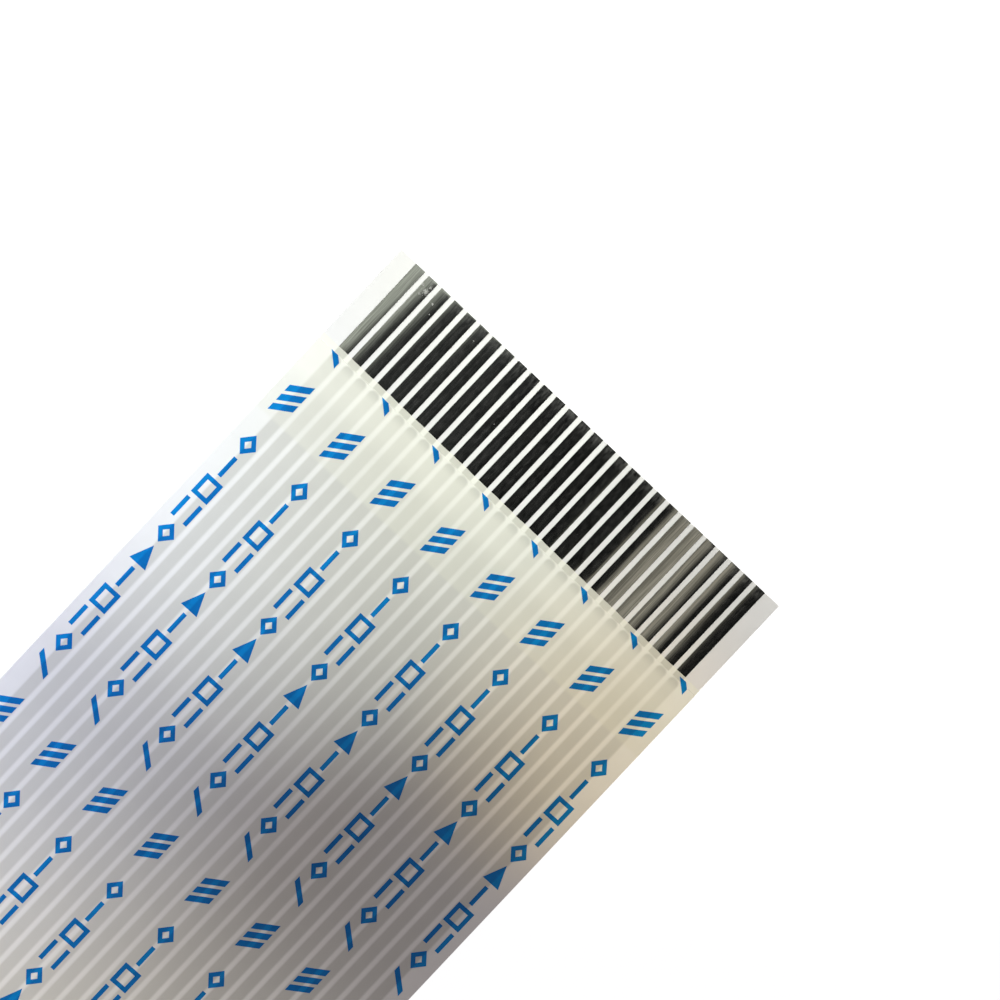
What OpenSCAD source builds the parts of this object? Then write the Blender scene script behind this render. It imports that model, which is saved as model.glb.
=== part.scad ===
// Flat flex cable: a row of flat tinned-copper wires laminated between two
// white insulating tapes. At each end the upper tape stops short, so that the
// wires lie bare as contacts, and a stiffener backs the lower tape. Both ends
// have their contacts on the same side.
//
// X runs across the cable, Y along it and Z up. The origin is the middle of
// the underside, in the plane of the two stiffeners.

/* [Cable] */
// Number of wires, side by side
ways = 28; // [4:1:40]
// From the middle of one wire to the middle of the next
pitch = 1; // [0.8:0.05:1.5]
// From cut end to cut end
cable_length = 100; // [60:1:200]
// Tape beside the outermost wire, out to the cable's edge
side_margin = 1.15; // [0.4:0.05:2]

/* [Wires] */
// Width of a flat wire
wire_w = 0.7; // [0.4:0.05:0.75]
// Thickness of a flat wire
wire_t = 0.1; // [0.05:0.01:0.15]
// Radius along the four edges of a wire
edge_r = 0.025; // [0.005:0.005:0.025]

/* [Tapes] */
// Thickness of each tape over or under a wire
tape_t = 0.06; // [0.03:0.01:0.12]
// Bare length at each end, up to the edge of the upper tape
bare_length = 7; // [3:0.5:10]
// Length of the adhesive pressed out past the upper tape's edge
lip_length = 0.4; // [0.1:0.05:0.6]
// Thickness of that adhesive over a wire
lip_t = 0.02; // [0.01:0.005:0.03]

/* [Stiffeners] */
// Length of each stiffener past the edge of the upper tape
stiffener_overlap = 5; // [2:0.5:10]
// Thickness of each stiffener
stiffener_t = 0.14; // [0.08:0.01:0.3]

/* [Print] */
// From one printed row to the next
row_pitch = 3.94; // [2:0.02:6]
// Width of a printed row
mark_w = 1.2; // [0.8:0.05:1.6]
// Width of a printed line
stroke = 0.27; // [0.1:0.01:0.3]
// Length of one printed sign
sign_length = 1.4; // [1:0.05:1.6]
// From the start of one sign to the start of the next
sign_step = 1.7; // [1.65:0.05:3]
// Slanted stripes in the group between two runs of signs
stripes = 3; // [2:1:3]
// Length of the whole group of stripes
stripes_length = 2.6; // [2.6:0.1:4]
// Width of one stripe, measured along the cable
stripe_w = 0.45; // [0.2:0.05:0.5]
// How far the two ends of a stripe lie apart along the cable
stripe_slant = 0.8; // [0.4:0.05:1]
// Plain space before and after the group
stripes_gap = 1.5; // [0.5:0.1:3]
// From the upper tape's edge to the first whole group of stripes
first_gap = 2.2; // [0.5:0.1:6]
// Thickness of the ink
ink_t = 0.01; // [0.005:0.005:0.03]

/* [Hidden] */
// Facets in the quarter turn along each edge of a wire
edge_facets = 2;
// One run of signs, in order along the cable
SIGNS = [
    "lozenge", "dash", "frame", "rails", "lozenge", "wedge",
    "dash", "frame", "rails", "lozenge", "slash"
];

cable_width = (ways - 1) * pitch + wire_w + 2 * side_margin;
half_width = cable_width / 2;
half_length = cable_length / 2;
tape_end = half_length - bare_length;
stiffener_length = bare_length + stiffener_overlap;

z_lower_tape = stiffener_t;
z_wire = z_lower_tape + tape_t;
z_mid = z_wire + wire_t / 2;
z_wire_top = z_wire + wire_t;
z_upper_tape_top = z_wire_top + tape_t;

run_length = (len(SIGNS) - 1) * sign_step + sign_length;
print_repeat = run_length + stripes_length + 2 * stripes_gap;
print_repeats = ceil(cable_length / print_repeat);
print_rows = floor((cable_width - mark_w) / row_pitch) + 1;

function two_digits(n) = str(n < 10 ? "0" : "", n);
function wire_name(i) = str("wire_", two_digits(i + 1));
function wire_x(i) = (i - (ways - 1) / 2) * pitch;

// Points of a quarter turn about a centre in X and Z, from one angle to another
function quarter_turn(centre, from, to) =
    [for (k = [0:edge_facets])
        let (angle = from + (to - from) * k / edge_facets)
        centre + edge_r * [cos(angle), sin(angle)]];

// The upper (side = 1) or lower (side = -1) edges of a wire, from -X to +X
function half_wire(x, side) =
    let (edge_x = wire_w / 2 - edge_r, edge_z = z_mid + side * (wire_t / 2 - edge_r))
    concat(
        quarter_turn([x - edge_x, edge_z], 180, 180 - side * 90),
        quarter_turn([x + edge_x, edge_z], side * 90, 0)
    );

// The groove that a wire leaves in the tape above (side = 1) or below it (side = -1)
function groove(x, side) = concat(
    [[x - wire_w / 2, z_mid]], half_wire(x, side), [[x + wire_w / 2, z_mid]]
);

// Extrudes a section, drawn in X and Z, from y_low to y_high
module along_cable(y_low, y_high) {
    translate([0, y_high, 0])
        rotate([90, 0, 0])
            linear_extrude(y_high - y_low)
                children();
}

module wire(i) {
    color("dimgray")
        along_cable(-half_length, half_length)
            wire_section(wire_x(i));
}

module wire_section(x) {
    lower = half_wire(x, -1);
    polygon(concat(half_wire(x, 1), [for (k = [len(lower) - 1:-1:0]) lower[k]]));
}

// A tape from the plane where the two tapes meet out to z_face, grooved for the wires
module tape_section(z_face) {
    grooves = [for (i = [0:ways - 1]) each groove(wire_x(i), sign(z_face - z_mid))];
    face = [[half_width, z_mid], [half_width, z_face], [-half_width, z_face], [-half_width, z_mid]];
    polygon(concat(face, grooves));
}

// Upper tape, with the thin lip of adhesive pressed out at each end
module upper_tape() {
    color("whitesmoke")
        union() {
            along_cable(-tape_end, tape_end)
                tape_section(z_upper_tape_top);
            for (y_low = [tape_end, -tape_end - lip_length])
                along_cable(y_low, y_low + lip_length)
                    tape_section(z_wire_top + lip_t);
        }
}

module lower_tape() {
    color("gainsboro")
        along_cable(-half_length, half_length)
            tape_section(z_lower_tape);
}

// A stiffener from y_low towards +Y
module stiffener(y_low) {
    color("white")
        translate([-half_width, y_low, 0])
            cube([cable_width, stiffener_length, stiffener_t]);
}

// Each printed sign is centred on the origin, mark_w across and sign_length along
module frame_sign() {
    difference() {
        square([mark_w, sign_length], center = true);
        square([mark_w - 2 * stroke, sign_length - 2 * stroke], center = true);
    }
}

module lozenge_sign() {
    across = mark_w / 2;
    along = sign_length / 2;
    side = norm([across, along]);
    difference() {
        lozenge(across, along);
        lozenge(across - stroke * side / along, along - stroke * side / across);
    }
}

module lozenge(across, along) {
    polygon([[across, 0], [0, along], [-across, 0], [0, -along]]);
}

module rails_sign() {
    for (side = [-1, 1])
        translate([side * (mark_w - stroke) / 2, 0])
            dash_sign();
}

module dash_sign() {
    square([stroke, sign_length], center = true);
}

module wedge_sign() {
    polygon([[-mark_w / 2, -sign_length / 2], [mark_w / 2, -sign_length / 2], [0, sign_length / 2]]);
}

module slash_sign() {
    across = mark_w / 2;
    along = sign_length / 2;
    cut = stroke * norm([across, along]) / across;
    polygon([[-across, along], [-across, along - cut], [across, -along], [across, cut - along]]);
}

module printed_sign(kind) {
    if (kind == "frame") frame_sign();
    if (kind == "lozenge") lozenge_sign();
    if (kind == "rails") rails_sign();
    if (kind == "dash") dash_sign();
    if (kind == "wedge") wedge_sign();
    if (kind == "slash") slash_sign();
}

// Slanted stripes, evenly spread from y = 0 down to y = -stripes_length
module stripe_group() {
    step = (stripes_length - stripe_slant - stripe_w) / (stripes - 1);
    for (k = [0:stripes - 1])
        translate([0, -k * step])
            polygon([
                [mark_w / 2, 0],
                [-mark_w / 2, -stripe_slant],
                [-mark_w / 2, -stripe_slant - stripe_w],
                [mark_w / 2, -stripe_w]
            ]);
}

// One repeat of a printed row: the stripes, then the run of signs
module print_unit() {
    stripe_group();
    for (k = [0:len(SIGNS) - 1])
        translate([0, -stripes_length - stripes_gap - k * sign_step - sign_length / 2])
            printed_sign(SIGNS[k]);
}

// Ink on the upper tape, cut off where the tape ends
module print_marks() {
    color("steelblue")
        translate([0, 0, z_upper_tape_top])
            linear_extrude(ink_t)
                intersection() {
                    square([cable_width, 2 * tape_end], center = true);
                    for (row = [0:print_rows - 1], n = [-1:print_repeats - 1])
                        translate([
                            (row - (print_rows - 1) / 2) * row_pitch,
                            tape_end - first_gap - n * print_repeat
                        ])
                            print_unit();
                }
}

for (i = [0:ways - 1])
    wire(i);
upper_tape();
lower_tape();
stiffener(half_length - stiffener_length);  // stiffener_a
stiffener(-half_length);  // stiffener_b
print_marks();
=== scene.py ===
# %% [markdown]
# # A flat flex cable
# A flat flex cable joins two circuit boards through a space too thin for round wires. Flat copper wires,
# plated with tin, lie side by side between two white polyester tapes that are glued face to face under
# heat. At each end the upper tape stops short and leaves the wires bare, and a thicker tape, the
# stiffener, backs them, so that the end can be pushed into a connector. This script dresses the packed
# model of such a cable: it reads every size from the model, builds finer meshes in the same places, and
# gives each of them the finish of the real material.

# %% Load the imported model
import math
import random

import bmesh
import bpy
import numpy as np
from mathutils import Matrix, Vector


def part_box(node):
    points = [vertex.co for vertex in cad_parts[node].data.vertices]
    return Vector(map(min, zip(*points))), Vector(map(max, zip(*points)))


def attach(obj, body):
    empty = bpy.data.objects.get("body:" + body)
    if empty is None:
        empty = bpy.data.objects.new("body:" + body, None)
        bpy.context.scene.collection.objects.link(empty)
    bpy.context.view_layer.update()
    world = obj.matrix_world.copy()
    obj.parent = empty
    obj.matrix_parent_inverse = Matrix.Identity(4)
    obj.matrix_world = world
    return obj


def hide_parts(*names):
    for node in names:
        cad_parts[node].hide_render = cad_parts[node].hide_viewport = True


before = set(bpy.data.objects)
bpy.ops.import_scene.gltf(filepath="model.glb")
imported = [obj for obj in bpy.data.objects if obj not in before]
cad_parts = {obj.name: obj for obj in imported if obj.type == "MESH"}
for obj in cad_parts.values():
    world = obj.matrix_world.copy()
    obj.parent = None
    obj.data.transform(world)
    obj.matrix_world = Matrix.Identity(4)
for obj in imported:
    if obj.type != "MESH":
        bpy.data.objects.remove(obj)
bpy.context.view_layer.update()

# %% [markdown]
# ## Sizes
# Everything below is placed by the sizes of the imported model, so that a piece fits the one beside it.
# Blender works in metres, and a cable is easier to think of in millimetres, so short lengths are written
# as a number times MM.

# %% Sizes from the model
MM = 0.001
lower_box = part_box("lower_tape")
upper_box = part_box("upper_tape")
first_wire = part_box("wire_01")
wire_names = sorted(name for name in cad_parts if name.startswith("wire_"))
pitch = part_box("wire_02")[0].x - first_wire[0].x
wire_width = first_wire[1].x - first_wire[0].x
wire_bottom, wire_top = first_wire[0].z, first_wire[1].z
wire_middle = (wire_bottom + wire_top) / 2
half_width = lower_box[1].x
cut_end = lower_box[1].y
lip_end = upper_box[1].y
tape_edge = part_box("print_marks")[1].y
stiffener_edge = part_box("stiffener_a")[0].y
tape_bottom, tape_top = lower_box[0].z, upper_box[1].z
outer_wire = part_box(wire_names[-1])[1].x - wire_width / 2
print(f"{len(wire_names)} wires of {wire_width / MM:.2f} mm, {pitch / MM:.2f} mm apart")
print(f"bare for {(cut_end - lip_end) / MM:.2f} mm, stiffened for {(cut_end - stiffener_edge) / MM:.1f} mm")

# %% [markdown]
# ## Two helpers for meshes
# A wire is a loft: one closed outline repeated along the cable, with a cap at each end. A tape is a slab:
# a grid of points on its upper face, the same grid on its lower face, and a wall round the rim. Both give
# closed meshes with evenly laid quads, which shade cleanly.

# %% Objects
SHARP_FROM = math.radians(40)     # an edge is shaded as sharp from this angle on


def put_in_scene(name, data):
    made = bpy.data.objects.new(name, data)
    bpy.context.scene.collection.objects.link(made)
    return made


def smooth_object(name, mesh):
    mesh.shade_smooth()
    mesh.set_sharp_from_angle(angle=SHARP_FROM)
    return put_in_scene(name, mesh)


def new_object(name, points, faces):
    mesh = bpy.data.meshes.new(name)
    mesh.from_pydata([tuple(p) for p in points], [], faces)
    mesh.validate()
    return smooth_object(name, mesh)


print("edges are sharp from", round(math.degrees(SHARP_FROM)), "degrees on")

# %% Loft and slab
def loft(name, sections):
    """sections is an array of shape (stations, points round the outline, 3)."""
    stations, around = sections.shape[:2]
    faces = []
    for s in range(stations - 1):
        for k in range(around):
            a, b = s * around + k, s * around + (k + 1) % around
            faces.append((a, b, b + around, a + around))
    last = (stations - 1) * around
    faces.append(tuple(range(around))[::-1])
    faces.append(tuple(last + k for k in range(around)))
    return new_object(name, sections.reshape(-1, 3), faces)


def slab(name, x, y, top, bottom):
    """x, y, top and bottom are arrays of shape (rows along the cable, columns across it)."""
    rows, columns = top.shape
    points = np.concatenate([
        np.stack([x, y, top], -1).reshape(-1, 3),
        np.stack([x, y, bottom], -1).reshape(-1, 3),
    ])
    under = rows * columns
    faces = []
    for r in range(rows - 1):
        for c in range(columns - 1):
            a = r * columns + c
            faces.append((a, a + 1, a + columns + 1, a + columns))
            faces.append((under + a, under + a + columns, under + a + columns + 1, under + a + 1))
    rim = list(range(columns))
    rim += [r * columns + columns - 1 for r in range(1, rows)]
    rim += [(rows - 1) * columns + c for c in range(columns - 2, -1, -1)]
    rim += [r * columns for r in range(rows - 2, 0, -1)]
    for a, b in zip(rim, rim[1:] + rim[:1]):
        faces.append((b, a, under + a, under + b))
    return new_object(name, points, faces)


print("a loft is for a wire, a slab for a tape")

# %% [markdown]
# ## Where the tapes rise and dip
# Hot rollers press the two tapes together over the wires. Over a wire the tape is held up, and between
# two wires it sinks a little, so its surface is a row of shallow flutes. One function gives that height,
# and the ink later takes its own height from it. The columns of the grid crowd together where the height
# changes, at the sides of each wire.

# %% The fluted surface
DIP = 0.018 * MM              # how far the tape sinks between two wires
FLUTE = 0.30 * MM             # half of the width over which a wire holds the tape up
RIM = 0.03 * MM               # how wide a tape's rounded rim is
RIM_DROP = 0.012 * MM         # and how far it falls away


def from_wire(x):
    """Distance across the cable from the middle of the nearest wire."""
    inside = np.abs((x - first_wire[0].x - wire_width / 2 + pitch / 2) % pitch - pitch / 2)
    return np.where(np.abs(x) > outer_wire, np.abs(x) - outer_wire, inside)


def dip_at(x):
    t = np.clip((from_wire(x) - FLUTE) / (pitch / 2 - FLUTE), 0, 1)
    return DIP * t * t * (3 - 2 * t)


def columns_across(offsets, margin_columns=6):
    """Grid lines at these distances, in mm, beside each wire's middle, and some in the margins."""
    centres = [-outer_wire + i * pitch for i in range(len(wire_names))]
    inner = [c + side * o * MM for c in centres for side in (-1, 1) for o in offsets]
    margin = np.linspace(outer_wire + 0.62 * MM, half_width, margin_columns)
    rounded_rim = half_width - np.array([0.4, 1.0]) * RIM
    outside = np.concatenate([margin, rounded_rim])
    return np.unique(np.round(np.concatenate([inner, outside, -outside]), 8))


print("halfway between two wires the tape lies", round(float(dip_at(0.0)) / MM, 3), "mm lower")

# %% [markdown]
# ## Colour and node helpers
# Colours are noted as the hex values a painter would pick on a screen. Blender's shaders want them
# linear, so one function turns one into the other. Another adds a node: its settings go in by name, and
# its inputs take a plain value, an earlier node, whose first output is then used, or one of its sockets.

# %% Colour and nodes
def linear(hex_colour):
    channels = [int(hex_colour[i:i + 2], 16) / 255 for i in (0, 2, 4)]
    return [c / 12.92 if c <= 0.04045 else ((c + 0.055) / 1.055) ** 2.4 for c in channels] + [1]


def add(tree, kind, inputs=None, **settings):
    node = tree.nodes.new(kind)
    for name, value in settings.items():
        setattr(node, name, value)
    for name, value in (inputs or {}).items():
        if isinstance(value, bpy.types.Node):
            value = next(socket for socket in value.outputs if socket.enabled)
        if isinstance(value, bpy.types.NodeSocket):
            tree.links.new(value, node.inputs[name])
        else:
            node.inputs[name].default_value = value
    return node


def new_material(name):
    material = bpy.data.materials.new(name)
    material.use_nodes = True
    material.node_tree.nodes.clear()
    return material, material.node_tree


print("the screen's middle grey, 808080, is", round(linear("808080")[0], 3), "in linear light")

# %% [markdown]
# ## Where a point lies on the cable
# Several finishes change with the distance from the nearest wire and with the distance along the cable.
# A few math nodes work both out from the object's own coordinates, so they hold from every side: the
# distance across folds back at each wire like a concertina, which is what Ping-pong does.

# %% Distance from the wires, in nodes
def in_mm(tree, place):
    split = add(tree, "ShaderNodeSeparateXYZ", {"Vector": place})
    return [add(tree, "ShaderNodeMath", {
        0: split.outputs[axis], 1: 1 / MM,
    }, operation="MULTIPLY") for axis in "XY"]


def wire_distance(tree, place):
    """Distance in mm across the cable from the nearest wire's middle, then |y| and x in mm."""
    x, y = in_mm(tree, place)
    shifted = add(tree, "ShaderNodeMath", {0: x, 1: outer_wire / MM}, operation="ADD")
    folded = add(tree, "ShaderNodeMath", {0: shifted, 1: pitch / MM / 2}, operation="PINGPONG")
    size = add(tree, "ShaderNodeMath", {0: x}, operation="ABSOLUTE")
    beyond = add(tree, "ShaderNodeMath", {0: size, 1: outer_wire / MM}, operation="SUBTRACT")
    across_wire = add(tree, "ShaderNodeMath", {0: folded, 1: beyond}, operation="MAXIMUM")
    along = add(tree, "ShaderNodeMath", {0: y}, operation="ABSOLUTE")
    return across_wire, along, x


print("half a wire is", round(wire_width / MM / 2, 3), "mm, half a pitch", round(pitch / MM / 2, 3), "mm")

# %% [markdown]
# ## Tinned copper
# The wires are round copper wire, rolled flat and run through molten tin. Fresh tin is a bright, slightly
# warm grey mirror: it has hardly any colour of its own and shows what it faces, so the same wire looks
# black under a dark ceiling and white beside a window. Rolling leaves streaks along the wire, about a
# dozen to a millimetre and a few millimetres long. They differ a little in tone and stand up by far less
# than a micrometre, which smears a reflection slightly across the wire. Handling and oxide dull the crown
# of each wire by a few hundredths, its last 0.85 mm by more, and a few small knocks most of all.
#
# A dulled spot scatters the lamps' light. A second, matt shader could be mixed in for that. Here a little
# is taken off Metallic instead, in patches of about 0.1 by 0.4 mm, because one shader is simpler and
# leaves Blender as it is. The cut ends show the copper itself.

# %% Dulled and knocked spots
HAZE = 0.020                  # how much of the crown is dulled
END_HAZE = 0.045              # how much more at the very end
END_HAZE_REACH = 0.85         # how far from the cut end that begins, in mm
KNOCK_HAZE = 0.45             # how much more in a knock
KNOCKS = ((-12.37, 49.20, 0.20), (-12.75, 49.40, 0.08), (-12.31, 49.55, 0.08), (-12.57, 48.89, 0.07),
          (-11.60, 48.95, 0.07), (-11.35, 48.40, 0.05), (-8.48, 49.05, 0.035), (-4.39, 46.40, 0.04),
          (9.42, -47.80, 0.06), (2.60, -45.90, 0.04))   # x, y and radius, in mm


def knocked_spots(tree, place):
    """1 inside a knock, 0 outside. Noise in grains of 0.06 mm moves the rim between 0.4 and 1 radius."""
    grain = add(tree, "ShaderNodeTexNoise", {"Vector": place, "Scale": 16 / MM, "Detail": 2})
    total = 0.0
    for x, y, radius in KNOCKS:
        middle = (x * MM, y * MM, wire_top)
        away = add(tree, "ShaderNodeVectorMath", {0: place, 1: middle}, operation="DISTANCE")
        ragged = add(tree, "ShaderNodeMath", {
            0: grain, 1: 4 * radius * MM, 2: away,
        }, operation="MULTIPLY_ADD")
        inside = add(tree, "ShaderNodeMapRange", {
            "Value": ragged, "From Min": 2.4 * radius * MM, "From Max": 3.0 * radius * MM,
            "To Min": 1.0, "To Max": 0.0,
        }, interpolation_type="SMOOTHSTEP")
        total = add(tree, "ShaderNodeMath", {0: total, 1: inside}, operation="MAXIMUM")
    return total


def dulled_tin(tree, place, across_wire, along):
    """How much of the mirror is lost at each point, from 0 to 1."""
    long_patches = add(tree, "ShaderNodeMapping", {"Vector": place, "Scale": (9 / MM, 2.5 / MM, 9 / MM)})
    patches = add(tree, "ShaderNodeTexNoise", {"Vector": long_patches, "Scale": 1, "Detail": 3})
    patchy = add(tree, "ShaderNodeMapRange", {
        "Value": patches, "From Min": 0.35, "From Max": 0.65, "To Min": 0.1, "To Max": 2.0,
    })
    crown = add(tree, "ShaderNodeMapRange", {
        "Value": across_wire, "From Min": 0.04, "From Max": 0.30, "To Min": HAZE, "To Max": 0.3 * HAZE,
    }, interpolation_type="SMOOTHSTEP")
    end = add(tree, "ShaderNodeMapRange", {
        "Value": along, "From Min": cut_end / MM - END_HAZE_REACH, "From Max": cut_end / MM - 0.05,
        "To Max": END_HAZE,
    }, interpolation_type="SMOOTHSTEP")
    haze = add(tree, "ShaderNodeMath", {0: crown, 1: end}, operation="ADD")
    haze = add(tree, "ShaderNodeMath", {0: haze, 1: patchy}, operation="MULTIPLY")
    return add(tree, "ShaderNodeMath", {
        0: knocked_spots(tree, place), 1: KNOCK_HAZE, 2: haze,
    }, operation="MULTIPLY_ADD")


print(len(KNOCKS), "knocks, the largest", 2 * max(radius for x, y, radius in KNOCKS), "mm across")

# %% Tin and bare copper
STREAK_HEIGHT = 2e-7          # in metres, a fifth of a micrometre


def tinned_copper():
    material, tree = new_material("tinned_copper_rolled")
    place = add(tree, "ShaderNodeTexCoord").outputs["Object"]
    across_wire, along, x = wire_distance(tree, place)
    dulled = dulled_tin(tree, place, across_wire, along)
    lines = add(tree, "ShaderNodeMapping", {"Vector": place, "Scale": (12 / MM, 0.4 / MM, 12 / MM)})
    rolled = add(tree, "ShaderNodeTexNoise", {"Vector": lines, "Scale": 1, "Detail": 3})
    streaks = add(tree, "ShaderNodeMapRange", {"Value": rolled, "From Min": 0.35, "From Max": 0.65})
    tone = add(tree, "ShaderNodeMix", {
        "Factor": streaks, "A": linear("BEBDB8"), "B": linear("E2E1DC"),
    }, data_type="RGBA")
    metal = add(tree, "ShaderNodeMath", {0: 1.0, 1: dulled}, operation="SUBTRACT")
    gloss = add(tree, "ShaderNodeMapRange", {
        "Value": dulled, "From Min": 0.05, "From Max": 0.45, "To Min": 0.045, "To Max": 0.3,
    })
    relief = add(tree, "ShaderNodeBump", {"Height": rolled, "Strength": 1, "Distance": STREAK_HEIGHT})
    shader = add(tree, "ShaderNodeBsdfPrincipled", {
        "Base Color": tone, "Metallic": metal, "Roughness": gloss, "Normal": relief,
    })
    add(tree, "ShaderNodeOutputMaterial", {"Surface": shader})
    return material


def sheared_copper():
    """Copper torn by the shears, rough in grains of 0.03 mm."""
    material, tree = new_material("copper_sheared")
    place = add(tree, "ShaderNodeTexCoord").outputs["Object"]
    torn = add(tree, "ShaderNodeTexNoise", {"Vector": place, "Scale": 30 / MM, "Detail": 3})
    tone = add(tree, "ShaderNodeMix", {
        "Factor": torn, "A": linear("B8714F"), "B": linear("D9987A"),
    }, data_type="RGBA")
    shader = add(tree, "ShaderNodeBsdfPrincipled", {"Base Color": tone, "Metallic": 1.0, "Roughness": 0.35})
    add(tree, "ShaderNodeOutputMaterial", {"Surface": shader})
    return material


tin = tinned_copper()
copper = sheared_copper()
print("finishes:", tin.name, "and", copper.name)

# %% [markdown]
# ## The wires
# Rolling leaves the broad faces of a wire very slightly crowned and its four edges rounded. The crown is
# a few thousandths of a millimetre, too little to see in profile, yet it is what splits a reflection
# along the wire. The shears that cut the cable to length drag the end of each wire down a little, more on
# one side. One wire repeated 28 times would mirror the ceiling 28 times alike. So each is a loft of its
# own, with its own small roll, which swings to and fro along it where the wire lies bare.

# %% One wire's outline
EDGE = 0.014 * MM             # radius of the rounded edges
CROWN = 0.0028 * MM           # how much lower the face is at its edges than in its middle
DIE_ROLL = 0.010 * MM         # how far the shears round the end down
DIE_ROLL_LENGTH = 0.12 * MM


def wire_outline(crown=CROWN):
    """x and z of the outline about the wire's middle, clockwise from the upper left."""
    flat = wire_width / 2 - EDGE
    high = (wire_top - wire_bottom) / 2
    # A narrow strip beside each rounded edge keeps the smooth shading of the edge off the face.
    inner = flat - 0.005 * MM
    spread = [-flat, *np.linspace(-inner, inner, 11), flat]
    upper = [(x, high - crown * (x / flat) ** 2) for x in spread]
    turn = [math.radians(a) for a in (67.5, 45, 22.5, 0)]
    right = [(flat + EDGE * math.cos(a), high - crown - EDGE + EDGE * math.sin(a)) for a in turn]
    lower = [(x, -z) for x, z in reversed(upper)]
    below_right = [(x, -z) for x, z in reversed(right)]
    left = [(-x, z) for x, z in reversed(right)]
    below_left = [(-x, -z) for x, z in right]
    return np.array(upper + right + below_right + lower + below_left + left)


def wire_stations():
    near = np.array([0, 0.012, 0.03, 0.06, 0.1, 0.15, 0.2, 0.25, 0.3, 0.4, 0.55, 0.7, 0.8, 0.86, 0.92, 0.98,
                     1.04, 1.1, 1.16, 1.24, 1.4, 1.8, 2.4, 3, 3.6, 4.2, 4.8, 5.4, 6, 6.6, 7.2, 8]) * MM
    middle = np.linspace(cut_end - 12 * MM, -cut_end + 12 * MM, 20)
    return np.concatenate([cut_end - near, middle, near[::-1] - cut_end])


print(len(wire_outline()), "points round a wire,", len(wire_stations()), "stations along it")

# %% Draw the wires
random.seed(28)
COMES_FREE = 0.5 * MM         # past the tape's edge a wire takes on its roll over this length
SWING = 2.2 * MM              # its roll swings to and fro once in 2 pi times this length
NICKED_WIRE = 1               # the second wire has been pushed in by the knock near its end
NICK_PLACE, NICK_LENGTH, NICK_DEPTH = 1.0 * MM, 0.11 * MM, 0.003 * MM
# Some wires lie askew or came flatter off the rollers: their roll in degrees and share of the crown.
ASKEW = {0: (0.7, 1), 1: (0.0, 1.1), 2: (-0.2, 0.9), 3: (-0.6, 1), 4: (-0.5, 1), 5: (-0.15, 1), 17: (0.3, 1),
         18: (0.5, 1), 19: (0.5, 1), 20: (0.4, 1), 21: (0.0, 0.3), 22: (0.1, 0.3), 23: (-0.1, 1)}


def draw_wire(number):
    roll, crown_share = ASKEW.get(number, (random.uniform(-0.12, 0.12), random.uniform(0.8, 1.1)))
    outline, stations = wire_outline(CROWN * crown_share), wire_stations()
    middle_x = -outer_wire + number * pitch
    swing = math.radians(random.uniform(0.05, 0.12))
    phase = random.uniform(0, 6)
    side_drag = random.uniform(0.4, 1.0)
    sections = np.empty((len(stations), len(outline), 3))
    for s, y in enumerate(stations):
        bare = min(1.0, max(0.0, (abs(y) - tape_edge) / COMES_FREE))
        twist = bare * (math.radians(roll) + swing * math.sin(phase + y / SWING))
        x, z = outline[:, 0], outline[:, 1] + outline[:, 0] * math.tan(twist)
        to_end = cut_end - abs(y)
        pressed = max(0.0, 1 - to_end / DIE_ROLL_LENGTH) ** 2
        lean = 0.5 + side_drag * (x / wire_width)
        high = (z + (wire_top - wire_bottom) / 2) / (wire_top - wire_bottom)
        z = z - DIE_ROLL * pressed * lean * high
        if number == NICKED_WIRE and y > 0:
            depth = NICK_DEPTH * math.exp(-((to_end - NICK_PLACE) / NICK_LENGTH) ** 2)
            z = z - depth * np.clip((x / wire_width - 0.1) / 0.25, 0, 1) * (z > 0)
        sections[s] = np.stack([middle_x + x, np.full(len(x), y), wire_middle + z], -1)
    wire = loft(f"drawn_{wire_names[number]}", sections)
    wire.data.materials.append(tin)
    wire.data.materials.append(copper)
    for face in wire.data.polygons:
        if len(face.vertices) > 4:
            face.material_index = 1
    return wire


wires = [draw_wire(i) for i in range(len(wire_names))]
print(f"{len(wires)} wires, {len(wires[0].data.polygons)} faces each")

# %% [markdown]
# ## Milky polyester tape
# The insulation is polyester film, PET, made milky with a white filler and glued with a clear hot-melt
# layer. It is thin enough that the metal under it shows as a soft grey band, and a gap between two wires
# shows as a bright line. Over the stiffener the bands are paler, because more white lies beneath them. At
# the tape's edge the glue has drawn back from each wire, so that a band begins with a rounded end. The
# calendered surface is satin: it has a soft sheen and no sharp reflections.
#
# The tape could be made truly translucent, but light that wanders inside a layer of 0.06 mm takes very
# many samples to settle. Painted by the distance from the nearest wire, the bands are as soft.

# %% Shapes on the upper tape
SKEW = 0.012                  # the upper tape's edge is this far out of square
EDGE_SHIFT = 0.05 * MM        # and lies this far out on the cable's middle line
BAND_FADE = (0.25, 0.45)      # from this to this far beside its wire a band fades out, in mm
END_FADE = (0.19, 0.39)       # the same at its rounded end, about a point
END_CENTRE = (0.06, 0.33)     # that lies so far beside the wire's middle and behind the tape's edge


def ahead_of_edge(tree, along, x):
    """How far a point lies in front of the upper tape's cut edge, in mm."""
    skewed = add(tree, "ShaderNodeMath", {0: x, 1: SKEW, 2: along}, operation="MULTIPLY_ADD")
    return add(tree, "ShaderNodeMath", {0: skewed, 1: (tape_edge + EDGE_SHIFT) / MM}, operation="SUBTRACT")


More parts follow.
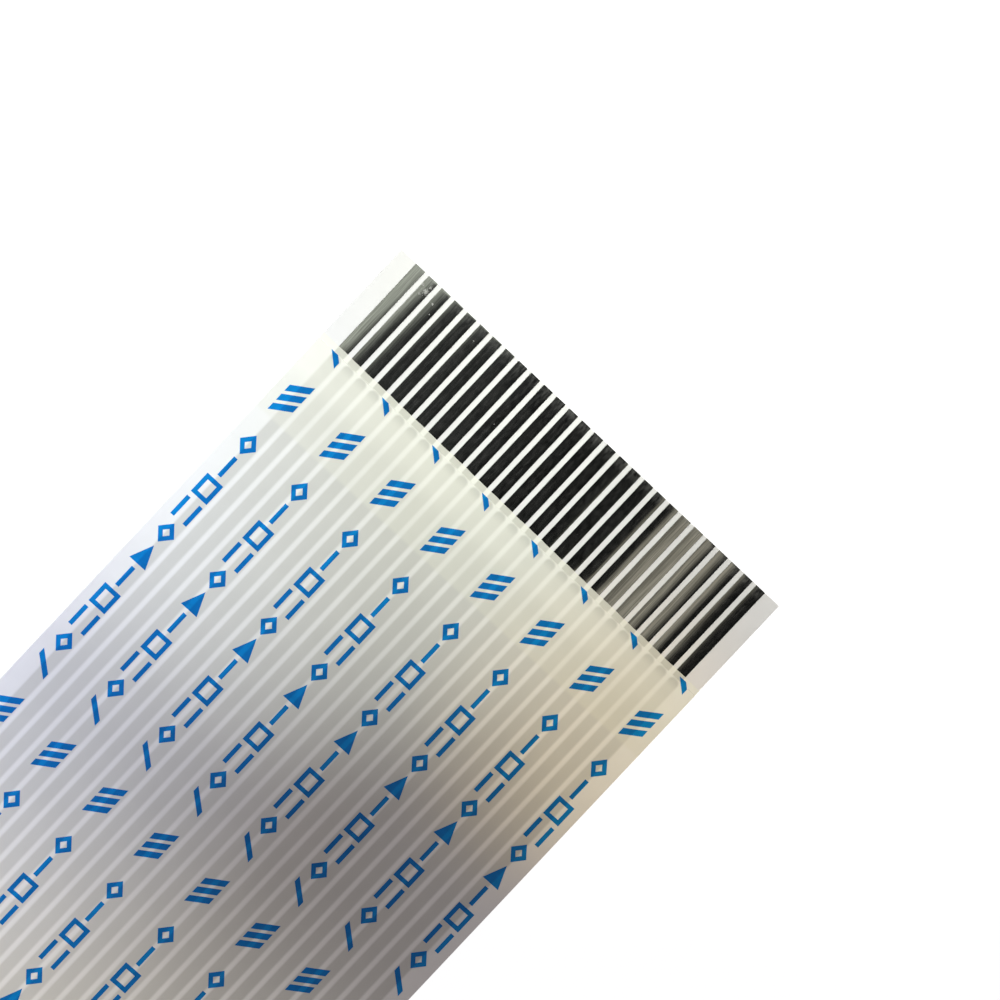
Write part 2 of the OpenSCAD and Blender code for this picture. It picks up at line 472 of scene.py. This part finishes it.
def rounded_band(tree, across_wire, ahead):
    """1 on a band, 0 in a gap and in front of the band's rounded end."""
    side = add(tree, "ShaderNodeMath", {0: across_wire, 1: END_CENTRE[0]}, operation="SUBTRACT")
    side = add(tree, "ShaderNodeMath", {0: side, 1: 0.0}, operation="MAXIMUM")
    front = add(tree, "ShaderNodeMath", {0: ahead, 1: END_CENTRE[1]}, operation="ADD")
    front = add(tree, "ShaderNodeMath", {0: front, 1: 0.0}, operation="MAXIMUM")
    corner = add(tree, "ShaderNodeCombineXYZ", {"X": side, "Y": front})
    reach = add(tree, "ShaderNodeVectorMath", {0: corner}, operation="LENGTH")
    return add(tree, "ShaderNodeMapRange", {
        "Value": reach, "From Min": END_FADE[0], "From Max": END_FADE[1], "To Min": 1.0, "To Max": 0.0,
    }, interpolation_type="SMOOTHSTEP")


def edge_shade(tree, band, ahead, along, x):
    """Painted shade and painted light that the upper tape's colour is multiplied by from place to place."""
    # Painted shade: along the tape's edge the bands are darkened, fading out over the first 0.7 mm.
    painted_edge_shadow = add(tree, "ShaderNodeMapRange", {
        "Value": ahead, "From Min": -0.75, "From Max": -0.05, "To Min": 1.0, "To Max": 0.84,
    }, interpolation_type="SMOOTHSTEP")
    # Past the stiffener the bands on the right-hand side are darker: painted shade.
    on_right = add(tree, "ShaderNodeMapRange", {
        "Value": x, "From Min": 0.0, "From Max": 8.0,
    }, interpolation_type="SMOOTHSTEP")
    deeper = add(tree, "ShaderNodeMapRange", {
        "Value": along, "From Min": 30.0, "From Max": 38.0, "To Min": -0.09, "To Max": 0.0,
    })
    painted_shade_band = add(tree, "ShaderNodeMath", {0: on_right, 1: deeper, 2: painted_edge_shadow}, operation="MULTIPLY_ADD")
    shade = add(tree, "ShaderNodeMix", {"Factor": band, "A": 1.0, "B": painted_shade_band}, data_type="FLOAT")
    # Light from the bare end creeps under the tape and lifts its last 3 mm a little.
    lifted = add(tree, "ShaderNodeMapRange", {
        "Value": ahead, "From Min": -3.0, "From Max": -1.5, "To Min": 1.0, "To Max": 1.06,
    }, interpolation_type="SMOOTHSTEP")
    return add(tree, "ShaderNodeMath", {0: shade, 1: lifted}, operation="MULTIPLY")


def with_glue(tree, painted, glue, across_wire, ahead):
    """The painted colour, and the glue's own where it lies on a wire in front of the tape's edge."""
    on_wire = add(tree, "ShaderNodeMapRange", {
        "Value": across_wire, "From Min": 0.28, "From Max": 0.40, "To Min": 1.0, "To Max": 0.0,
    }, interpolation_type="SMOOTHSTEP")
    in_front = add(tree, "ShaderNodeMapRange", {"Value": ahead, "From Min": -0.04, "From Max": 0.03})
    lip = add(tree, "ShaderNodeMath", {0: on_wire, 1: in_front}, operation="MULTIPLY")
    return add(tree, "ShaderNodeMix", {"Factor": lip, "A": painted, "B": linear(glue)}, data_type="RGBA")


print("the upper tape's edge runs out of square by", round(2 * half_width / MM * SKEW, 2), "mm")

# %% Milky polyester
def milky_polyester(name, gap, band, glue=None):
    """gap and band are each a pair of colours, over the stiffener and beyond it."""
    material, tree = new_material(name)
    place = add(tree, "ShaderNodeTexCoord").outputs["Object"]
    across_wire, along, x = wire_distance(tree, place)
    if glue:
        ahead = ahead_of_edge(tree, along, x)
        on_band = rounded_band(tree, across_wire, ahead)
        shade = edge_shade(tree, on_band, ahead, along, x)
    else:
        shade = 1.0
        on_band = add(tree, "ShaderNodeMapRange", {
            "Value": across_wire, "From Min": BAND_FADE[0], "From Max": BAND_FADE[1],
            "To Min": 1.0, "To Max": 0.0,
        }, interpolation_type="SMOOTHSTEP")
    backed = add(tree, "ShaderNodeMapRange", {
        "Value": along, "From Min": stiffener_edge / MM - 0.15, "From Max": stiffener_edge / MM + 0.15,
    }, interpolation_type="SMOOTHSTEP")
    gap_tone, band_tone = [add(tree, "ShaderNodeMix", {
        "Factor": backed, "A": linear(beyond), "B": linear(over_stiffener),
    }, data_type="RGBA") for over_stiffener, beyond in (gap, band)]
    painted = add(tree, "ShaderNodeMix", {"Factor": on_band, "A": gap_tone, "B": band_tone}, data_type="RGBA")
    if glue:
        painted = with_glue(tree, painted, glue, across_wire, ahead)
    # Uneven filler: clouds about 2.4 mm across.
    cloud = add(tree, "ShaderNodeTexNoise", {
        "Vector": place, "Scale": 0.42 / MM, "Detail": 3, "Roughness": 0.6,
    })
    uneven = add(tree, "ShaderNodeMapRange", {"Value": cloud, "To Min": 0.95, "To Max": 1.05})
    uneven = add(tree, "ShaderNodeMath", {0: uneven, 1: shade}, operation="MULTIPLY")
    mottled = add(tree, "ShaderNodeVectorMath", {0: painted, 1: uneven}, operation="MULTIPLY")
    # The calendered surface: grains of 0.07 mm, about two micrometres high.
    grain = add(tree, "ShaderNodeTexNoise", {"Vector": place, "Scale": 14 / MM, "Detail": 2})
    relief = add(tree, "ShaderNodeBump", {"Height": grain, "Strength": 1, "Distance": 2e-6})
    shader = add(tree, "ShaderNodeBsdfPrincipled", {
        "Base Color": mottled, "Roughness": 0.34, "IOR": 1.6, "Normal": relief,
    })
    add(tree, "ShaderNodeOutputMaterial", {"Surface": shader})
    return material


upper_polyester = milky_polyester("milky_polyester_upper", ("F3F2E7", "F6F5ED"), ("E2E1D4", "DAD9CF"),
                                  glue="D2D1C4")
lower_polyester = milky_polyester("milky_polyester_lower", ("F4F2F0", "F4F2F0"), ("DBDBD7", "D3D2D0"))
print("finishes:", upper_polyester.name, "and", lower_polyester.name)

# %% [markdown]
# ## The upper tape
# The upper tape ends 7 mm before the wires do. Its die-cut edge is a little out of square, and some of
# the glue has crept out in front of it as a thin lip that tapers to nothing on the wires. Film and glue
# stay joined, so one slab is both. Its rows crowd together at the edge, and a height for each point makes
# the flutes, the step down from the film and the lip.

# %% Upper tape
LIP_THICKNESS = 0.018 * MM
GLUE_WAVE = 0.03 * MM         # how unevenly the glue's front runs
SKEWED_FROM = 36 * MM         # from the middle out to here the tape lies true


def edge_shift(x, y):
    """How far the tape is shifted along the cable there, because its ends aren't quite square."""
    near_end = np.clip((np.abs(y) - SKEWED_FROM) / (lip_end - SKEWED_FROM), 0, 1)
    return near_end * (EDGE_SHIFT - SKEW * x)


def upper_rows():
    from_lip = np.array([0, 0.02, 0.06, 0.12, 0.2, 0.28, 0.35, 0.385, 0.395, 0.402, 0.41, 0.425, 0.46, 0.55,
                         0.7, 0.9, 1.2, 1.6, 2.1, 2.8, 3.6, 4.6, 5.0, 5.4, 5.8, 6.5, 7.5, 9]) * MM
    middle = np.linspace(lip_end - 11.5 * MM, -lip_end + 11.5 * MM, 26)
    return np.concatenate([lip_end - from_lip, middle, from_lip[::-1] - lip_end])


def build_upper_tape():
    columns = columns_across([0, 0.15, 0.28, 0.34, 0.39, 0.44, 0.5])
    x, y = np.meshgrid(columns, upper_rows())
    inset = lip_end - np.abs(y)
    film = tape_top - dip_at(x)
    film = film - RIM_DROP * np.clip(1 - (half_width - np.abs(x)) / RIM, 0, 1) ** 2
    wave = GLUE_WAVE * (0.5 + 0.3 * np.sin(x * 2100 + 1) + 0.2 * np.sin(x * 5300))
    on_wire = from_wire(x) < wire_width / 2
    ground = np.where(on_wire, wire_top, wire_middle)
    slope = np.clip(inset / (lip_end - tape_edge), 0, 1)
    lip = ground + 0.001 * MM + LIP_THICKNESS * slope ** 0.7 + np.where(on_wire, 0, 0.03 * MM)
    rise = np.clip((inset - (lip_end - tape_edge) + 0.005 * MM) / (0.03 * MM), 0, 1)
    top = lip + (film - lip) * rise * rise * (3 - 2 * rise)
    front = np.sign(y) * (np.abs(y) + edge_shift(x, y) - wave * np.clip(1 - inset / (0.25 * MM), 0, 1))
    tape = slab("upper_tape_film", x, front, top, ground)
    tape.data.materials.append(upper_polyester)
    return tape


upper_tape = build_upper_tape()
print("upper tape:", len(upper_tape.data.polygons), "faces")

# %% [markdown]
# ## The lower tape
# The lower tape runs to the cut ends. Between two bare wires the glue stands a little up their sides, so
# the strip of tape there is a shallow trough. It is the same kind of slab as the upper tape, with a
# groove for each wire where its grid columns meet the wire's sides.

# %% Lower tape
def lower_rows():
    from_end = np.array([0, 0.02, 0.06, 0.2, 0.6, 1.2, 2, 3, 4, 5, 6, 7, 8.5, 10.5, 11.8, 12.2, 13, 16]) * MM
    middle = np.linspace(cut_end - 20 * MM, -cut_end + 20 * MM, 20)
    return np.concatenate([cut_end - from_end, middle, from_end[::-1] - cut_end])


def build_lower_tape():
    columns = columns_across([0, 0.3, 0.344, 0.351, 0.37, 0.42, 0.5])
    x, y = np.meshgrid(columns, lower_rows())
    beside = np.clip((from_wire(x) - wire_width / 2) / (pitch / 2 - wire_width / 2), 0, 1)
    trough = wire_middle - 0.004 * MM - 0.016 * MM * beside * (2 - beside)
    trough = np.where(np.abs(x) > outer_wire + pitch / 2, wire_middle - 0.02 * MM, trough)
    top = np.where(from_wire(x) < 0.3475 * MM, wire_bottom - 0.002 * MM, trough)
    rim = np.clip(1 - (half_width - np.abs(x)) / RIM, 0, 1)
    end = np.clip(1 - (cut_end - np.abs(y)) / RIM, 0, 1)
    top = top - RIM_DROP * np.maximum(rim, end) ** 2
    bottom = np.full_like(top, tape_bottom)
    tape = slab("lower_tape_film", x, y, top, bottom)
    tape.data.materials.append(lower_polyester)
    return tape


lower_tape = build_lower_tape()
print("lower tape:", len(lower_tape.data.polygons), "faces")

# %% [markdown]
# ## The stiffeners
# A stiffener is a strip of the same kind of polyester, more than twice as thick, glued under each end. It
# is punched out together with the tapes. Its lower face is what the connector pushes against, and
# handling leaves fine scratches on it. A plain box would do but for the lower rim, which the punch has
# rounded, so this too is a slab, with its grid lines close together there.

# %% Stiffeners
def stiffener_polyester():
    material, tree = new_material("stiffener_polyester")
    place = add(tree, "ShaderNodeTexCoord").outputs["Object"]
    cloud = add(tree, "ShaderNodeTexNoise", {"Vector": place, "Scale": 0.35 / MM, "Detail": 3})
    tone = add(tree, "ShaderNodeMix", {
        "Factor": cloud, "A": linear("EBE9DF"), "B": linear("F4F2EA"),
    }, data_type="RGBA")
    # Scratches 0.1 mm apart and about 6 mm long, a little askew, where the noise is highest.
    drawn = add(tree, "ShaderNodeMapping", {
        "Vector": place, "Scale": (9 / MM, 0.16 / MM, 9 / MM), "Rotation": (0, 0, 0.06),
    })
    scratch = add(tree, "ShaderNodeTexNoise", {"Vector": drawn, "Scale": 1, "Detail": 2})
    ridge = add(tree, "ShaderNodeMapRange", {
        "Value": scratch, "From Min": 0.62, "From Max": 0.75,
    }, interpolation_type="SMOOTHSTEP")
    relief = add(tree, "ShaderNodeBump", {"Height": ridge, "Strength": 1, "Distance": 3e-6})
    shader = add(tree, "ShaderNodeBsdfPrincipled", {
        "Base Color": tone, "Roughness": 0.38, "IOR": 1.6, "Normal": relief,
    })
    add(tree, "ShaderNodeOutputMaterial", {"Surface": shader})
    return material


backing = stiffener_polyester()


def build_stiffener(node):
    low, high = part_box(node)
    inset = np.array([0, 0.01, 0.03, 0.07, 0.3, 2]) * MM
    columns = np.concatenate([low.x + inset, [0], high.x - inset[::-1]])
    rows = np.concatenate([low.y + inset, [(low.y + high.y) / 2], high.y - inset[::-1]])
    x, y = np.meshgrid(columns, rows)
    to_rim = np.minimum.reduce([x - low.x, high.x - x, y - low.y, high.y - y])
    rounded = 0.02 * MM * np.clip(1 - to_rim / (0.05 * MM), 0, 1) ** 2
    made = slab(f"{node}_strip", x, y, np.full_like(x, high.z), low.z + rounded)
    made.data.materials.append(backing)
    return made


stiffeners = {node: build_stiffener(node) for node in ("stiffener_a", "stiffener_b")}
print("stiffeners:", [round(v / MM, 2) for v in stiffeners["stiffener_a"].dimensions], "mm")

# %% [markdown]
# ## The printed marks
# A roller prints the marks on the finished tape in a quick-drying blue ink, one row after another along
# the cable. The rows repeat: a group of slanted stripes, then a run of plain signs. Here each sign is
# drawn as flat outlines, cut along the columns of the tape's grid so that it can sink with the tape
# between two wires, and then given the thickness of the ink. The signs could be painted into the tape's
# material as well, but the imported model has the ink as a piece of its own.

# %% Shapes of the signs
ROW_PITCH = 3.94 * MM
MARK_WIDTH = 1.2 * MM
STROKE = 0.27 * MM
SIGN_LENGTH = 1.4 * MM
SIGN_STEP = 1.7 * MM
STRIPES = 3
STRIPES_LENGTH = 2.6 * MM
STRIPE_WIDTH = 0.45 * MM
STRIPE_SLANT = 0.8 * MM
STRIPES_GAP = 1.5 * MM
FIRST_GAP = 2.2 * MM
SIGNS = ("lozenge", "dash", "frame", "rails", "lozenge", "wedge",
         "dash", "frame", "rails", "lozenge", "slash")


def ring(outer, inner):
    """The quads between an outline and a smaller one with as many corners."""
    count = len(outer)
    return [[outer[i], outer[(i + 1) % count], inner[(i + 1) % count], inner[i]] for i in range(count)]


def rectangle(across, along, middle_x=0.0):
    a, b = across / 2, along / 2
    return [(middle_x - a, -b), (middle_x + a, -b), (middle_x + a, b), (middle_x - a, b)]


def sign_shapes(kind):
    w, h = MARK_WIDTH / 2, SIGN_LENGTH / 2
    if kind == "frame":
        return ring(rectangle(2 * w, 2 * h), rectangle(2 * (w - STROKE), 2 * (h - STROKE)))
    if kind == "lozenge":
        side = math.hypot(w, h)
        a, b = w - STROKE * side / h, h - STROKE * side / w
        return ring([(w, 0), (0, h), (-w, 0), (0, -h)], [(a, 0), (0, b), (-a, 0), (0, -b)])
    if kind == "rails":
        return [rectangle(STROKE, 2 * h, side * (w - STROKE / 2)) for side in (-1, 1)]
    if kind == "dash":
        return [rectangle(STROKE, 2 * h)]
    if kind == "slash":
        cut = STROKE * math.hypot(w, h) / w
        return [[(-w, h), (-w, h - cut), (w, -h), (w, cut - h)]]
    return [[(-w, -h), (w, -h), (0, h)]]


def stripe_shapes():
    step = (STRIPES_LENGTH - STRIPE_SLANT - STRIPE_WIDTH) / (STRIPES - 1)
    w = MARK_WIDTH / 2
    plain = [(w, 0), (-w, -STRIPE_SLANT), (-w, -STRIPE_SLANT - STRIPE_WIDTH), (w, -STRIPE_WIDTH)]
    return [[(x, y - k * step) for x, y in plain] for k in range(STRIPES)]


def print_unit():
    """The outlines of one repeat, from its first stripe down to its last sign."""
    shapes = stripe_shapes()
    for k, kind in enumerate(SIGNS):
        middle = -STRIPES_LENGTH - STRIPES_GAP - k * SIGN_STEP - SIGN_LENGTH / 2
        shapes += [[(x, y + middle) for x, y in shape] for shape in sign_shapes(kind)]
    return shapes


print_repeat = (len(SIGNS) - 1) * SIGN_STEP + SIGN_LENGTH + STRIPES_LENGTH + 2 * STRIPES_GAP
print(len(print_unit()), "outlines in one repeat of", round(print_repeat / MM, 2), "mm")

# %% [markdown]
# ## Blue printing ink
# The ink is a thin, matt, pigmented layer. The pale tape shines through it, so it is a brighter blue over
# a gap between two wires than over the grey band of a wire, and it is thicker in some spots than in
# others. A see-through layer would show that by itself, but its blue would shift with each change to the
# tape, so the two blues are painted by the distance from the wire.

# %% Blue ink
def printing_ink():
    """Clouds of about half a millimetre make it up to a quarter paler or deeper."""
    material, tree = new_material("blue_flexo_ink")
    place = add(tree, "ShaderNodeTexCoord").outputs["Object"]
    across_wire, along, x = wire_distance(tree, place)
    gap = add(tree, "ShaderNodeMapRange", {
        "Value": across_wire, "From Min": 0.28, "From Max": 0.42,
    }, interpolation_type="SMOOTHSTEP")
    ink = add(tree, "ShaderNodeMix", {
        "Factor": gap, "A": linear("006EB6"), "B": linear("0082C9"),
    }, data_type="RGBA")
    cloud = add(tree, "ShaderNodeTexNoise", {"Vector": place, "Scale": 1.8 / MM, "Detail": 3})
    thin = add(tree, "ShaderNodeMapRange", {"Value": cloud, "To Min": 0.75, "To Max": 1.25})
    uneven = add(tree, "ShaderNodeVectorMath", {0: ink, 1: thin}, operation="MULTIPLY")
    shader = add(tree, "ShaderNodeBsdfPrincipled", {"Base Color": uneven, "Roughness": 0.5, "IOR": 1.3})
    add(tree, "ShaderNodeOutputMaterial", {"Surface": shader})
    return material


blue_ink = printing_ink()
print("finish:", blue_ink.name)

# %% Lay the ink on the tape
INK = 0.008 * MM


def cut(mesh, place, normal, clear_outer=False):
    everything = mesh.verts[:] + mesh.edges[:] + mesh.faces[:]
    bmesh.ops.bisect_plane(mesh, geom=everything, plane_co=place, plane_no=normal, clear_outer=clear_outer)


def build_print():
    mesh = bmesh.new()
    rows = int((2 * half_width - MARK_WIDTH) / ROW_PITCH) + 1
    repeats = math.ceil(2 * cut_end / print_repeat)
    for row in range(rows):
        for n in range(-1, repeats):
            x0 = (row - (rows - 1) / 2) * ROW_PITCH
            y0 = tape_edge - FIRST_GAP - n * print_repeat
            for shape in print_unit():
                corners = [(x0 + x, y0 + y) for x, y in shape]
                if max(y for x, y in corners) > -tape_edge and min(y for x, y in corners) < tape_edge:
                    mesh.faces.new([mesh.verts.new((x, y, 0)) for x, y in corners])
    bmesh.ops.remove_doubles(mesh, verts=mesh.verts, dist=1e-7)
    for side in (-1, 1):
        cut(mesh, (0, side * tape_edge, 0), (0, side, 0), clear_outer=True)
    for column in columns_across([0.15, 0.28, 0.34, 0.39, 0.44, 0.5]):
        cut(mesh, (column, 0, 0), (1, 0, 0))
    grown = bmesh.ops.extrude_face_region(mesh, geom=mesh.faces[:], use_keep_orig=True)
    raised = {v for v in grown["geom"] if isinstance(v, bmesh.types.BMVert)}
    for v in mesh.verts:
        v.co.z = tape_top - float(dip_at(np.array(v.co.x))) + (INK if v in raised else -INK / 4)
        v.co.y += math.copysign(float(edge_shift(v.co.x, v.co.y)), v.co.y)
    bmesh.ops.recalc_face_normals(mesh, faces=mesh.faces[:])
    # Cutting leaves the faces in an order that changes from run to run, so they are put in one order.
    by_place = sorted(mesh.faces, key=lambda face: tuple(face.calc_center_median()))
    rank = {face: number for number, face in enumerate(by_place)}
    mesh.faces.sort(key=lambda face: rank[face])
    data = bpy.data.meshes.new("printed_signs")
    mesh.to_mesh(data)
    mesh.free()
    data.materials.append(blue_ink)
    return smooth_object("printed_signs", data)


printed = build_print()
print("printed signs:", len(printed.data.polygons), "faces")

# %% [markdown]
# ## Attach each piece and hide the part it replaces
# Every piece rides on the one body that the cable has, and the node of the imported model that it stands
# for is hidden.

# %% Ride and replace
def dress(piece, node):
    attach(piece, "root")
    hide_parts(node)


for name, wire in zip(wire_names, wires):
    dress(wire, name)
dress(upper_tape, "upper_tape")
dress(lower_tape, "lower_tape")
for node, strip in stiffeners.items():
    dress(strip, node)
dress(printed, "print_marks")
print("dressed", len(wires) + 5, "pieces")

# %% [markdown]
# ## Camera
# A cable end is looked at from close by, so the camera stands about 14 cm over it with a long lens. It is
# turned so that the cable runs from the lower left to the upper right.

# %% Camera
CAMERA_PLACE = (-18.735, 46.3, 139.2)         # in mm
CAMERA_AIM = (-1.155, 43.46, 0.3)
CAMERA_UP = (-0.677, 0.729, -0.101)
FOCAL_LENGTH, SENSOR_WIDTH = 88.13, 36        # of the lens, in mm


def place_camera():
    lens = bpy.data.cameras.new("camera")
    lens.sensor_width = SENSOR_WIDTH
    lens.lens = FOCAL_LENGTH
    lens.clip_start = 10 * MM
    made = put_in_scene("camera", lens)
    place = Vector(CAMERA_PLACE) * MM
    ahead = (Vector(CAMERA_AIM) * MM - place).normalized()
    right = ahead.cross(Vector(CAMERA_UP)).normalized()
    above = right.cross(ahead)
    turn = Matrix((right, above, -ahead)).transposed()
    made.matrix_world = Matrix.Translation(place) @ turn.to_4x4()
    bpy.context.scene.camera = made
    return made


camera = place_camera()
print("camera at", [round(v / MM, 1) for v in camera.location], "mm")

# %% [markdown]
# ## Floor and surroundings
# The floor and the world are white where the camera, a mirror or a clear body sees them. What lights the
# cable is weaker and slightly pink, like a room with pale walls. Lamps strong enough to turn the floor
# white would bleach the tape, so a Light Path node tells the rays apart.

# %% Floor and world
FLOOR_DROP = 0.02 * MM        # how far under the cable the floor lies
FLOOR_GLOW = 0.915            # with the lit paint this comes to white


def seen_directly(tree):
    """1 for a ray from the camera, from a mirror or through a clear body, 0 for one that lights."""
    ray = add(tree, "ShaderNodeLightPath")
    both = add(tree, "ShaderNodeMath", {
        0: ray.outputs["Is Camera Ray"], 1: ray.outputs["Is Glossy Ray"],
    }, operation="MAXIMUM")
    return add(tree, "ShaderNodeMath", {0: both, 1: ray.outputs["Is Transmission Ray"]}, operation="MAXIMUM")


def white_floor():
    """White paint, and where it is seen a grey paint that glows, so that it keeps the cable's shadow."""
    material, tree = new_material("white_table")
    paint = add(tree, "ShaderNodeBsdfDiffuse", {"Color": linear("E7E7E7")})
    thin_paint = add(tree, "ShaderNodeBsdfDiffuse", {"Color": linear("949494")})
    glow = add(tree, "ShaderNodeEmission", {"Strength": FLOOR_GLOW})
    lit = add(tree, "ShaderNodeAddShader", {0: thin_paint, 1: glow})
    mix = add(tree, "ShaderNodeMixShader", {0: seen_directly(tree), 1: paint, 2: lit})
    add(tree, "ShaderNodeOutputMaterial", {"Surface": mix})
    return material


def build_floor(size=3.0):
    corners = [(-size, -size, 0), (size, -size, 0), (size, size, 0), (-size, size, 0)]
    floor = new_object("table_top", corners, [(0, 1, 2, 3)])
    floor.location.z = -FLOOR_DROP
    floor.data.materials.append(white_floor())
    return floor


def white_room():
    world = bpy.data.worlds.new("white_room")
    world.use_nodes = True
    tree = world.node_tree
    tree.nodes.clear()
    ambient = add(tree, "ShaderNodeBackground", {"Color": (0.313, 0.288, 0.306, 1), "Strength": 1})
    white = add(tree, "ShaderNodeBackground", {"Color": (1, 1, 1, 1), "Strength": 1})
    mix = add(tree, "ShaderNodeMixShader", {0: seen_directly(tree), 1: ambient, 2: white})
    add(tree, "ShaderNodeOutputWorld", {"Surface": mix})
    bpy.context.scene.world = world


build_floor()
white_room()
bpy.context.scene.view_settings.view_transform = "Standard"
print("floor and world are in place")

# %% [markdown]
# ## Lamps
# Daylight falls on the cable from the side of the cut end and fades along it, and a white tape shows that
# plainly. Area lamps would spread evenly over so small a thing, so spot lamps with soft rims make pools
# of light instead. A wide pale one covers the bare end, a small one the left corner, and a cool one the
# left side further down. A warm one and a weak narrow one lie on the right, and the last is for the far
# end. All are left out of reflections, which the ceiling below shapes.

# %% Lamps
LAMPS = {                     # where it stands, where it aims and its pool's radius, in mm; colour, level
    "window_lamp": ((-60, 150, 420), (0.5, 89, 0), 60, (0.95, 1.0, 0.90), 0.90),
    "desk_lamp": ((-110, 130, 420), (-10, 41, 0), 21.5, (0.92, 1.0, 0.96), 0.475),
    "sky_lamp": ((-110, 0, 420), (-36.8, 16, 0), 41, (0.71, 0.78, 1.0), 0.89),
    "warm_lamp": ((60, 90, 420), (12.5, 37, 0), 12, (1.0, 0.77, 0.36), 0.20),
    "edge_lamp": ((60, 90, 420), (14, 36.5, 0), 7.5, (1.0, 0.85, 0.50), 0.095),
    "far_lamp": ((-40, -90, 420), (4, -28, 0), 48, (1.0, 0.98, 0.93), 0.66),
}
LAMP_SOFTNESS = 2 * MM        # a lamp's own radius, which softens its shadows


def soft_lamp(name, place, aim, pool, colour, level):
    """A round pool of light that fades from its middle to its rim."""
    lamp = bpy.data.lights.new(name, "SPOT")
    start, end = Vector(place) * MM, Vector(aim) * MM
    reach = (end - start).length
    lamp.spot_size = 2 * math.atan(pool * MM / reach)
    lamp.spot_blend = 1
    lamp.shadow_soft_size = LAMP_SOFTNESS
    lamp.color = colour
    lamp.energy = level * 4 * math.pi ** 2 * reach ** 2
    made = put_in_scene(name, lamp)
    made.location = start
    made.rotation_mode = "QUATERNION"
    made.rotation_quaternion = (start - end).to_track_quat("Z", "Y")
    made.visible_glossy = False
    return made


for name, settings in LAMPS.items():
    soft_lamp(name, *settings)
print(len(LAMPS), "lamps")

# %% [markdown]
# ## A ceiling for the tin to mirror
# Bare tin is a mirror, so what it shows has to be put there: one large round card, 200 mm overhead. It is
# nearly black, which makes most wires near-black. It glows on the left up to a slanted line, as if under
# a window, and has one paler strip on the right, so that some of the wires show a grey half or a grey
# edge. Separate cards could do this too, but one painted card has soft rims wherever they are wanted. It
# is seen in reflections alone: it throws no shadow and lights nothing.

# %% Ceiling light
CEILING_HEIGHT = 200 * MM
CEILING_RADIUS = 260 * MM
CEILING_MIDDLE = (20 * MM, 45 * MM)
WINDOW_SLANT = 0.53           # how far the window's line leans across for each mm along
WINDOW_LINE_AT = 48           # where along the cable that line crosses x = 0, in mm
WINDOW_LEVEL = 0.46


def window_glow(tree, x, y):
    """Bright on the left of the slanted line, with a far side 40 to 50 mm out."""
    slant = add(tree, "ShaderNodeMath", {
        0: y, 1: WINDOW_SLANT, 2: -WINDOW_SLANT * WINDOW_LINE_AT,
    }, operation="MULTIPLY_ADD")
    from_line = add(tree, "ShaderNodeMath", {0: x, 1: slant}, operation="SUBTRACT")
    falling = add(tree, "ShaderNodeMapRange", {
        "Value": from_line, "From Min": -10.0, "From Max": 4.0, "To Min": 1.0, "To Max": 0.0,
    })
    falling = add(tree, "ShaderNodeMath", {0: falling, 1: 2.0}, operation="POWER")
    far_side = add(tree, "ShaderNodeMapRange", {"Value": x, "From Min": -50.0, "From Max": -40.0})
    window = add(tree, "ShaderNodeMath", {0: falling, 1: far_side}, operation="MULTIPLY")
    return add(tree, "ShaderNodeMath", {0: window, 1: WINDOW_LEVEL}, operation="MULTIPLY")


def strip_glow(tree, x):
    """A strip from 42 to 52 mm out on the right, dimmer along its near side."""
    left = add(tree, "ShaderNodeMapRange", {
        "Value": x, "From Min": 40.5, "From Max": 43.5,
    }, interpolation_type="SMOOTHSTEP")
    right = add(tree, "ShaderNodeMapRange", {
        "Value": x, "From Min": 47.0, "From Max": 58.0, "To Min": 1.0, "To Max": 0.0,
    }, interpolation_type="SMOOTHSTEP")
    level = add(tree, "ShaderNodeMapRange", {
        "Value": x, "From Min": 44.0, "From Max": 47.5, "To Min": 0.20, "To Max": 0.34,
    }, interpolation_type="SMOOTHSTEP")
    strip = add(tree, "ShaderNodeMath", {0: left, 1: right}, operation="MULTIPLY")
    return add(tree, "ShaderNodeMath", {0: strip, 1: level}, operation="MULTIPLY")


def ceiling_glow():
    """The window, the strip and a faint glow that fades to the right, each in its own colour."""
    material, tree = new_material("ceiling_glow")
    place = add(tree, "ShaderNodeTexCoord").outputs["Object"]
    x, y = in_mm(tree, place)
    window = window_glow(tree, x, y)
    strip = strip_glow(tree, x)
    dark = add(tree, "ShaderNodeMapRange", {
        "Value": x, "From Min": 0.0, "From Max": 30.0, "To Min": 0.030, "To Max": 0.008,
    }, interpolation_type="SMOOTHSTEP")
    daylight = add(tree, "ShaderNodeEmission", {"Color": (0.93, 1.0, 0.88, 1), "Strength": window})
    room_light = add(tree, "ShaderNodeEmission", {"Color": (1.0, 0.95, 0.79, 1), "Strength": strip})
    shade = add(tree, "ShaderNodeEmission", {"Color": (0.93, 1.0, 1.0, 1), "Strength": dark})
    both = add(tree, "ShaderNodeAddShader", {0: daylight, 1: room_light})
    shader = add(tree, "ShaderNodeAddShader", {0: both, 1: shade})
    add(tree, "ShaderNodeOutputMaterial", {"Surface": shader})
    return material


print("the window's line crosses the cable at", WINDOW_LINE_AT, "mm")

# %% Hang the ceiling
def hang_ceiling():
    x0, y0 = CEILING_MIDDLE
    around = [math.radians(a) for a in range(0, 360, 10)]
    rim = [(CEILING_RADIUS * math.cos(a) + x0, CEILING_RADIUS * math.sin(a) + y0, 0) for a in around]
    made = new_object("ceiling", rim, [tuple(range(len(rim)))])
    made.location.z = CEILING_HEIGHT
    made.data.materials.append(ceiling_glow())
    for ray in ("camera", "diffuse", "transmission", "volume_scatter", "shadow"):
        setattr(made, f"visible_{ray}", False)
    return made


hang_ceiling()
print("a ceiling card at", CEILING_HEIGHT / MM, "mm")
